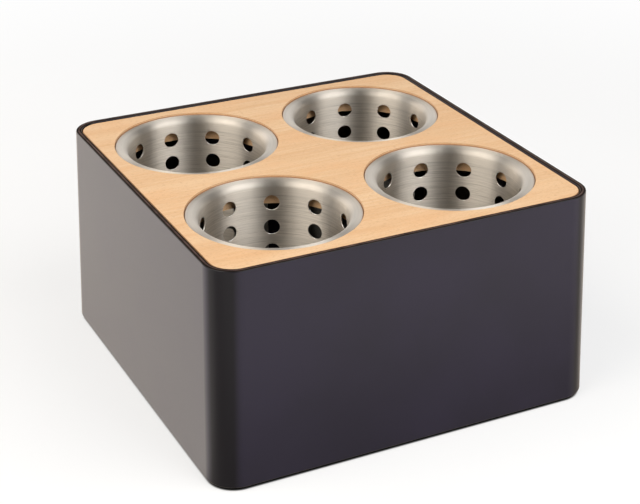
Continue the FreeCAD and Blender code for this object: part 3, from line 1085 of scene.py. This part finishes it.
@dataclass
class CupShape:
    """A drawn and perforated steel cup, about its own axis, with its lip's top at height zero."""

    height: float
    lip_radius: float = 57.15 * MM
    inside_radius: float = 48.8 * MM
    sheet: float = 0.8 * MM
    flare_radius: float = 4.4 * MM
    floor_radius: float = 5.0 * MM
    crease_depth: float = 0.12 * MM
    crease_height: float = 0.5 * MM
    crease_floor: float = 0.08
    crease_out: float = 0.75
    crease_up: float = 0.65
    hole_radius: float = 5.4 * MM
    hole_round: float = 0.25 * MM
    columns: int = 10
    row_pitch: float = 18.0 * MM
    first_row: float = 15.0 * MM
    last_row_above_floor: float = 12.0 * MM
    drain_radius: float = 4.0 * MM
    drain_ring_radius: float = 28.0 * MM
    drain_count: int = 8
    across: int = 10
    upright: int = 6
    straight_steps: int = 2
    lip_steps: int = 6
    flare_steps: int = 14
    floor_bend_steps: int = 8
    drain_steps: int = 24
    hole_round_steps: int = 3

    def rows(self) -> list[float]:
        """The heights of the rows of holes.

        Returns:
            The heights of their middles, from the top down.
        """
        count = 1 + int((self.height - self.last_row_above_floor - self.first_row) / self.row_pitch)
        return [-self.first_row - i * self.row_pitch for i in range(count)]

    def wall_top(self) -> float:
        """The height where the wall's perforated stretch starts, under the flare."""
        return -self.first_row + self.row_pitch / 2

    def wall_bottom(self) -> float:
        """The height where the wall bends into the floor."""
        return self.sheet - self.height + self.floor_radius

    def turned(self, skin: Skin, step: Step) -> list[int]:
        """Adds a level ring of points, at the angles where the perforated wall has its own.

        Args:
            skin: The cup's surface.
            step: The ring's radius, height and direction.

        Returns:
            The points' numbers, round the cup.
        """
        rays = [ray_at((i / self.across - 0.5) * math.tau / self.columns)
                for i in range(self.columns * self.across)]
        return [skin.add(step.at(ray), step.facing(ray)) for ray in rays]

    def lathe(self, skin: Skin, steps: Iterable[Step]) -> None:
        """Adds a surface turned about the cup's axis.

        Args:
            skin: The cup's surface.
            steps: The section that is turned.
        """
        rings = [self.turned(skin, step) for step in steps]
        for first, second in zip(rings, rings[1:]):
            skin.strip(first, second)

    def lip(self) -> list[Step]:
        """The section of the flare and the lip.

        Returns:
            The steps from the wall's outer face, over the lip and down to its inner face.
        """
        inner, outer = self.inside_radius, self.inside_radius + self.sheet
        bend = (inner + self.flare_radius, -self.flare_radius)
        half_sheet = self.sheet / 2
        start = span(self.wall_top(), -self.flare_radius, self.straight_steps)[:-1]
        steps = [Step(outer, height, 1, 0) for height in start]
        outside, rim = self.flare_radius - self.sheet, (self.lip_radius - half_sheet, -half_sheet)
        steps += arc_steps(bend, outside, 2 * QUARTER, QUARTER, self.lip_steps, hollow=True)
        steps += arc_steps(rim, half_sheet, -QUARTER, QUARTER, self.lip_steps)
        steps += arc_steps(bend, self.flare_radius, QUARTER, 2 * QUARTER, self.flare_steps)
        crease, half = -self.flare_radius - self.crease_height / 2, self.crease_height / 2
        floor, floor_half = inner + self.crease_depth, self.crease_floor * self.crease_height
        steps.append(Step(inner, crease + half, -1, 0))
        steps.append(Step(floor, crease + floor_half, -self.crease_out, -self.crease_up))
        steps.append(Step(floor, crease - floor_half, -self.crease_out, self.crease_up))
        steps.append(Step(inner, crease - half, -1, 0))
        end = span(crease - self.crease_height, self.wall_top(), self.straight_steps)
        return steps + [Step(inner, height, -1, 0) for height in end]

    def cell_edge(self, low: float, high: float) -> list[tuple[float, float]]:
        """The outline of one hole's share of the wall, rolled out flat about the hole.

        Args:
            low: How far its lower side is below the hole's middle, as a negative height.
            high: How far its upper side is above it.

        Returns:
            The outline's points, anticlockwise: along the wall, and up.
        """
        half = math.pi * self.inside_radius / self.columns
        line = [(half, up) for up in span(low, high, self.upright)[:-1]]
        line += [(along, high) for along in span(half, -half, self.across)[:-1]]
        line += [(-half, up) for up in span(high, low, self.upright)[:-1]]
        line += [(along, low) for along in span(-half, half, self.across)[:-1]]
        return line

    def hole(self, skin: Skin, column: int, height: float, low: float, high: float) -> None:
        """Adds one hole with its share of the wall, inside and outside.

        Args:
            skin: The cup's surface.
            column: The number of its column.
            height: The height of its middle.
            low: The height of the share's lower side.
            high: The height of its upper side.
        """
        turn = math.tau * column / self.columns
        edge, mouth = self.hole_round, self.hole_radius + self.hole_round
        lip = arc_steps((mouth, edge), edge, 3 * QUARTER, 2 * QUARTER, self.hole_round_steps)
        lip += arc_steps((mouth, self.sheet - edge), edge, 2 * QUARTER, QUARTER, self.hole_round_steps)
        rows = []
        for along, up in self.cell_edge(low - height, high - height):
            reach = math.hypot(along, up)
            halfway = (reach + mouth) / 2
            steps = [Step(reach, 0, 0, -1), Step(halfway, 0, 0, -1), *lip,
                     Step(halfway, self.sheet, 0, 1), Step(reach, self.sheet, 0, 1)]
            row = []
            for step in steps:
                ray = ray_at(turn + along / reach * step.out / self.inside_radius)
                across = Vector((-ray.y, ray.x, 0))
                point = (self.inside_radius + step.up) * ray + (height + up / reach * step.out) * UP
                normal = step.normal_up * ray + step.normal_out * (along / reach * across + up / reach * UP)
                row.append(skin.add(point, normal))
            rows.append(row)
        for i, row in enumerate(rows):
            skin.strip(rows[i - 1], row, closed=False)

    def wall(self, skin: Skin) -> None:
        """Adds the perforated stretch of the wall.

        Args:
            skin: The cup's surface.
        """
        heights = self.rows()
        for i, height in enumerate(heights):
            high = self.wall_top() if i == 0 else (heights[i - 1] + height) / 2
            low = self.wall_bottom() if i == len(heights) - 1 else (heights[i + 1] + height) / 2
            for column in range(self.columns):
                self.hole(skin, column, height, low, high)

    def drains(self) -> list[Vector]:
        """The middles of the holes in the floor, the one on the axis first."""
        turns = span(0, math.tau, self.drain_count)[:-1]
        return [Vector((0, 0, 0))] + [self.drain_ring_radius * ray_at(turn) for turn in turns]

    def drain_ring(self, skin: Skin, centre: Vector, step: Step) -> list[int]:
        """Adds a level ring of points round a hole in the floor.

        Args:
            skin: The cup's surface.
            centre: The middle of the hole.
            step: The ring's radius, height and direction.

        Returns:
            The points' numbers, round the hole.
        """
        rays = [ray_at(turn) for turn in span(0, math.tau, self.drain_steps)[:-1]]
        return [skin.add(centre + step.at(ray), step.facing(ray)) for ray in rays]

    def floor(self, skin: Skin) -> None:
        """Adds the floor: its bends, its two flat faces and the holes through it.

        Args:
            skin: The cup's surface.
        """
        bend = (self.inside_radius - self.floor_radius, self.wall_bottom())
        for radius, hollow in ((self.floor_radius, True), (self.floor_radius + self.sheet, False)):
            self.lathe(skin, arc_steps(bend, radius, 0, -QUARTER, self.floor_bend_steps, hollow))
        top, low = self.sheet - self.height, -self.height
        edge, mouth = self.hole_round, self.drain_radius + self.hole_round
        for height, side in ((top, 1), (low, -1)):
            rings = [self.turned(skin, Step(bend[0], height, 0, side))]
            rings += [self.drain_ring(skin, centre, Step(mouth, height, 0, side)) for centre in self.drains()]
            numbers = [number for ring in rings for number in ring]
            for corners in tessellate_polygon([[skin.points[number] for number in ring] for ring in rings]):
                skin.face(*(numbers[corner] for corner in corners))
        section = arc_steps((mouth, top - edge), edge, QUARTER, 2 * QUARTER, self.hole_round_steps)
        section += arc_steps((mouth, low + edge), edge, 2 * QUARTER, 3 * QUARTER, self.hole_round_steps)
        for centre in self.drains():
            rings = [self.drain_ring(skin, centre, step) for step in section]
            for first, second in zip(rings, rings[1:]):
                skin.strip(first, second)

    def mesh(self) -> bpy.types.Mesh:
        """Builds the cup's mesh.

        Returns:
            The mesh.
        """
        skin = Skin()
        self.lathe(skin, self.lip())
        self.wall(skin)
        self.floor(skin)
        return skin.mesh("drawn_cup")


@dataclass
class CupSet:
    """The four cups, each turned its own way in its seat. The turns are in degrees, in the corners' order."""

    pitch: float = CUP_PITCH
    turns: tuple[float, ...] = (67.3, 83.0, 55.0, 76.0)

    def dress(self) -> list[bpy.types.Object]:
        """Builds the cups, brushes them and sets each in place of its solid.

        Returns:
            The cups.
        """
        lowest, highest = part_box("cutlery_cup_front_left")
        mesh = CupShape(highest.z - lowest.z).mesh()
        mesh.materials.append(SpunSteel("spun_steel").material())
        cups = []
        for corner, turn in zip(Corner, self.turns):
            place = corner.name.lower()
            node = "cutlery_cup_" + place
            side_x, side_y = corner.value
            cup = show("steel_cup_" + place, mesh)
            cup.location = (side_x * self.pitch / 2, side_y * self.pitch / 2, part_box(node)[1].z)
            cup.rotation_euler = (0, 0, math.radians(turn))
            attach(cup, "cup_" + place)
            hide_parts(node)
            cups.append(cup)
        return cups


@dataclass
class Underworks:
    """The pieces below and inside: base panel, brackets, feet and fixings, which keep their solids."""

    inner_roughness: float = 0.42

    def finishes(self) -> dict[str, bpy.types.Material]:
        """Builds the finishes of these nodes.

        Returns:
            The finish of each kind of node, by the start of its name.
        """
        coat = SatinCoat("inner_black_coat", roughness=self.inner_roughness).material()
        plating = PlatedSteel("zinc_plate").material()
        rubber = MouldedRubber("foot_rubber").material()
        return {
            "base_panel": coat, "board_bracket": coat, "base_bracket": coat,
            "rubber_foot": rubber, "edge_strip": rubber,
            "board_screws": plating, "base_screws": plating,
            "foot_screws": plating, "foot_washers": plating, "foot_nuts": plating,
        }

    def dress(self, nodes: dict[str, bpy.types.Object]) -> list[bpy.types.Object]:
        """Gives each of these nodes its finish.

        Args:
            nodes: The frame's nodes, by name.

        Returns:
            The nodes that were dressed.
        """
        dressed = []
        for start, material in self.finishes().items():
            for name, node in sorted(nodes.items()):
                if name.startswith(start):
                    for slot in node.material_slots:
                        slot.material = material
                    dressed.append(node)
        return dressed


# ---------------------------------------------------------------- studio


def towards(turn: float, rise: float) -> Vector:
    """Finds a direction from the caddy.

    Args:
        turn: The angle from the front towards the left, in degrees.
        rise: The angle above the floor, in degrees.

    Returns:
        The direction, one metre long.
    """
    across, up = math.radians(turn), math.radians(rise)
    return Vector((-math.sin(across) * math.cos(up), -math.cos(across) * math.cos(up), math.sin(up)))


@dataclass(frozen=True)
class PaleFloor(Finish):
    """A pale floor that is white a little way off and keeps the caddy's shadow.

    The camera and the reflections see part of its white as a glow that lights nothing else: weak near the
    caddy and full further off. There is none under the caddy, where the colour that they see is darkened too,
    a painted shadow. Right in front, reflections see less of both, a painted shade, and everywhere they see
    the glow with a warm tint, a painted reflection.
    """

    colour: Colour = (0.90, 0.90, 0.90)
    roughness: float = 0.9
    gloss: float = 0.0
    glow: float = 0.6
    glow_reach: Range = (0.275, 1.1)
    # painted reflection: a warm tint on the glow that only reflections see
    mirrored_glow: Colour = (1.0, 0.96, 0.91)
    foot: float = 140.3 * MM
    foot_radius: float = 20.0 * MM
    foot_blur: float = 2.0 * MM
    front_reach: float = 260.0 * MM
    front_blur: float = 40.0 * MM
    front_shade: float = 0.65
    # painted shadow and shade: the share of the floor's colour that is left under the caddy, and for
    # reflections right in front
    unlit: Range = (0.3, 1.0)
    cloud: Layer = Layer(Grain(3.0), amount=(0.97, 1.0))

    def under(self, bench: Bench, across: Socket, deep: Socket) -> Socket:
        """Finds the floor that the caddy stands over, with its rounded corners, where the painted shadow
        goes.

        Args:
            bench: The floor's bench.
            across: The place along X.
            deep: The place along Y.

        Returns:
            1 under the caddy and 0 beside it.
        """
        straight = self.foot - self.foot_radius
        past = [bench.most(bench.math("SUBTRACT", bench.math("ABSOLUTE", side), straight), 0.0)
                for side in (across, deep)]
        reach = bench.math("SQRT", bench.plus(*(bench.times(side, side) for side in past)))
        return bench.fit(reach, (self.foot_radius, self.foot_radius - self.foot_blur))

    def shaded_front(self, bench: Bench, deep: Socket, glossy: Socket) -> Socket:
        """Finds the floor before the caddy that reflections see shaded.

        Args:
            bench: The floor's bench.
            deep: The place along Y.
            glossy: 1 for a reflection.

        Returns:
            The share of the glow that is kept off.
        """
        far = bench.fit(deep, (-self.foot - self.front_reach, -self.foot))
        near = bench.fit(deep, (self.front_blur - self.foot, -self.foot))
        return bench.times(far, near, glossy, self.front_shade)

    def wired(self, bench: Bench, place: Socket) -> Inputs:
        """The floor's white, and the glow that only the camera and reflections see.

        Args:
            bench: The material's bench.
            place: Where the shaded point is.

        Returns:
            What goes into the shader's inputs.
        """
        across, deep, _ = bench.split(place)
        glossy = bench.node("ShaderNodeLightPath").outputs["Is Glossy Ray"]
        front = self.shaded_front(bench, deep, glossy)
        in_the_open = bench.rest(bench.most(self.under(bench, across, deep), front))
        seen = bench.seen()
        away = bench.node("ShaderNodeVectorMath", {"Vector": place}, operation="LENGTH").outputs["Value"]
        share = bench.fit(away, self.glow_reach, (self.glow, 1.0))
        # painted shadow: under the caddy, and for reflections right in front, the colour that is seen is
        # darkened
        pale = bench.times(bench.rest(share), bench.laid(place, self.cloud),
                           bench.fit(in_the_open, UNIT, self.unlit))
        parts = {"Red": pale, "Green": pale, "Blue": pale}
        shown = bench.node("ShaderNodeCombineColor", parts).outputs["Color"]
        return {
            "Base Color": bench.mix(seen, self.colour, shown), "Roughness": self.roughness,
            "Specular IOR Level": self.gloss, "Emission Color": bench.mix(glossy, WHITE, self.mirrored_glow),
            "Emission Strength": bench.times(seen, share, in_the_open),
        }


@dataclass(frozen=True)
class Surround:
    """A grey dome with a dark gap in front, and a white screen behind that only eyes and reflections see."""

    name: str
    gap_turn: float
    grey: float = 0.26
    gap_grey: float = 0.03
    gap_slopes: Range = (0.30, 0.65)
    least_ahead: float = 0.01
    band: Range = (0.10, 0.0)
    screen: Range = (0.60, 0.48)
    behind: Range = (-0.1, 0.3)

    def dome(self, bench: Bench, across: Socket, deep: Socket) -> Socket:
        """Gives the dome its grey, and its gap about one direction.

        Args:
            bench: The surround's bench.
            across: The direction along X.
            deep: The direction along Y.

        Returns:
            The dome's brightness.
        """
        gap = towards(self.gap_turn, 0.0)
        ahead = bench.plus(bench.times(across, gap.x), bench.times(deep, gap.y))
        aside = bench.math("SUBTRACT", bench.times(across, gap.y), bench.times(deep, gap.x))
        slope = bench.math("DIVIDE", bench.math("ABSOLUTE", aside), bench.most(ahead, self.least_ahead))
        return bench.fit(slope, self.gap_slopes, (self.gap_grey, self.grey))

    def hang(self) -> bpy.types.World:
        """Builds the surround and hangs it round the scene.

        Returns:
            The scene's world.
        """
        world = bpy.data.worlds.new(self.name)
        bpy.context.scene.world = world
        bench = Bench(world)
        across, deep, height = bench.split(bench.node("ShaderNodeTexCoord").outputs["Generated"])
        screen = bench.most(bench.times(bench.fit(height, self.screen), bench.fit(deep, self.behind)),
                            bench.fit(height, self.band))
        camera = bench.node("ShaderNodeLightPath").outputs["Is Camera Ray"]
        strength = bench.most(bench.times(bench.seen(), screen), self.dome(bench, across, deep), camera)
        background = bench.node("ShaderNodeBackground", {"Color": WHITE, "Strength": strength})
        output = bench.node("ShaderNodeOutputWorld")
        bench.tree.links.new(background.outputs["Background"], output.inputs["Surface"])
        return world


@dataclass(frozen=True)
class Softbox:
    """A soft rectangular lamp that faces the caddy from one side.

    Its turn is the angle from the front towards the left, and its rise the angle above the floor.
    """

    name: str
    turn: float
    rise: float
    distance: float
    width: float
    height: float
    watts: float
    colour: Colour = WHITE
    aim_height: float = 0.1

    def hang(self) -> bpy.types.Object:
        """Makes the lamp.

        Returns:
            The lamp's object.
        """
        light = bpy.data.lights.new(self.name, "AREA")
        light.shape = "RECTANGLE"
        light.size, light.size_y = self.width, self.height
        light.energy = self.watts
        light.color = self.colour
        return stand(show(self.name, light), towards(self.turn, self.rise), self.distance, self.aim_height)


def stand(thing: bpy.types.Object, away: Vector, distance: float, aim_height: float) -> bpy.types.Object:
    """Sets a lamp or a camera in its place, turned to the caddy.

    Args:
        thing: The lamp or the camera.
        away: The direction from the caddy to it.
        distance: How far off it is.
        aim_height: The height on the caddy's axis that it is turned to.

    Returns:
        The same object.
    """
    thing.location = Vector((0, 0, aim_height)) + distance * away
    thing.rotation_euler = (-away).to_track_quat("-Z", "Y").to_euler()
    return thing


@dataclass
class Studio:
    """A pale floor, a grey surround with a white screen, soft lamps and the camera."""

    floor_size: float = 12.0
    camera_turn: float = 26.288
    camera_rise: float = 26.075
    camera_distance: float = 1.1186
    camera_clip: Range = (0.05, 50.0)
    aim_height: float = 79.188 * MM
    lens: float = 88.62
    lamps: tuple[Softbox, ...] = (
        Softbox("left_box", 82.0, 44.0, distance=1.5, width=1.3, height=1.3, watts=17.0,
                colour=(1.0, 0.95, 0.88)),
        Softbox("right_box", -31.0, 44.0, distance=1.5, width=1.3, height=1.3, watts=17.0),
        Softbox("low_box", 150.0, 12.0, distance=1.3, width=0.9, height=0.4, watts=2.5,
                colour=(1.0, 0.90, 0.79)),
    )

    def lay_floor(self) -> bpy.types.Object:
        """Lays the floor.

        Returns:
            The floor.
        """
        half = self.floor_size / 2
        mesh = bpy.data.meshes.new("floor")
        corners = [(-half, -half, 0), (half, -half, 0), (half, half, 0), (-half, half, 0)]
        mesh.from_pydata(corners, [], [(0, 1, 2, 3)])
        mesh.materials.append(PaleFloor("pale_floor").material())
        floor = show("floor", mesh)
        return floor

    def set_camera(self) -> bpy.types.Object:
        """Sets the camera, level and aimed at the axis of the caddy.

        Returns:
            The camera.
        """
        data = bpy.data.cameras.new("camera")
        data.lens = self.lens
        data.clip_start, data.clip_end = self.camera_clip
        away = towards(self.camera_turn, self.camera_rise)
        camera = stand(show("camera", data), away, self.camera_distance, self.aim_height)
        bpy.context.scene.camera = camera
        return camera

    def build(self) -> None:
        """Lays the floor, hangs the surround and the lamps, and sets the camera."""
        self.lay_floor()
        Surround("surround", self.camera_turn).hang()
        for lamp in self.lamps:
            lamp.hang()
        self.set_camera()


def main() -> None:
    """Builds the caddy's pieces in order, then the studio."""
    logging.basicConfig(level=logging.INFO, format="%(name)s: %(message)s")
    housing = Housing()
    pieces = [housing.dress(), Board(housing).dress()]
    pieces += CupSet().dress()
    pieces += Underworks().dress(frame["nodes"])
    for piece in pieces:
        log.info("%s: %d points, %d faces", piece.name, len(piece.data.vertices), len(piece.data.polygons))
    Studio().build()
    bpy.context.scene.view_settings.view_transform = "Standard"


if __name__ == "__main__":
    main()
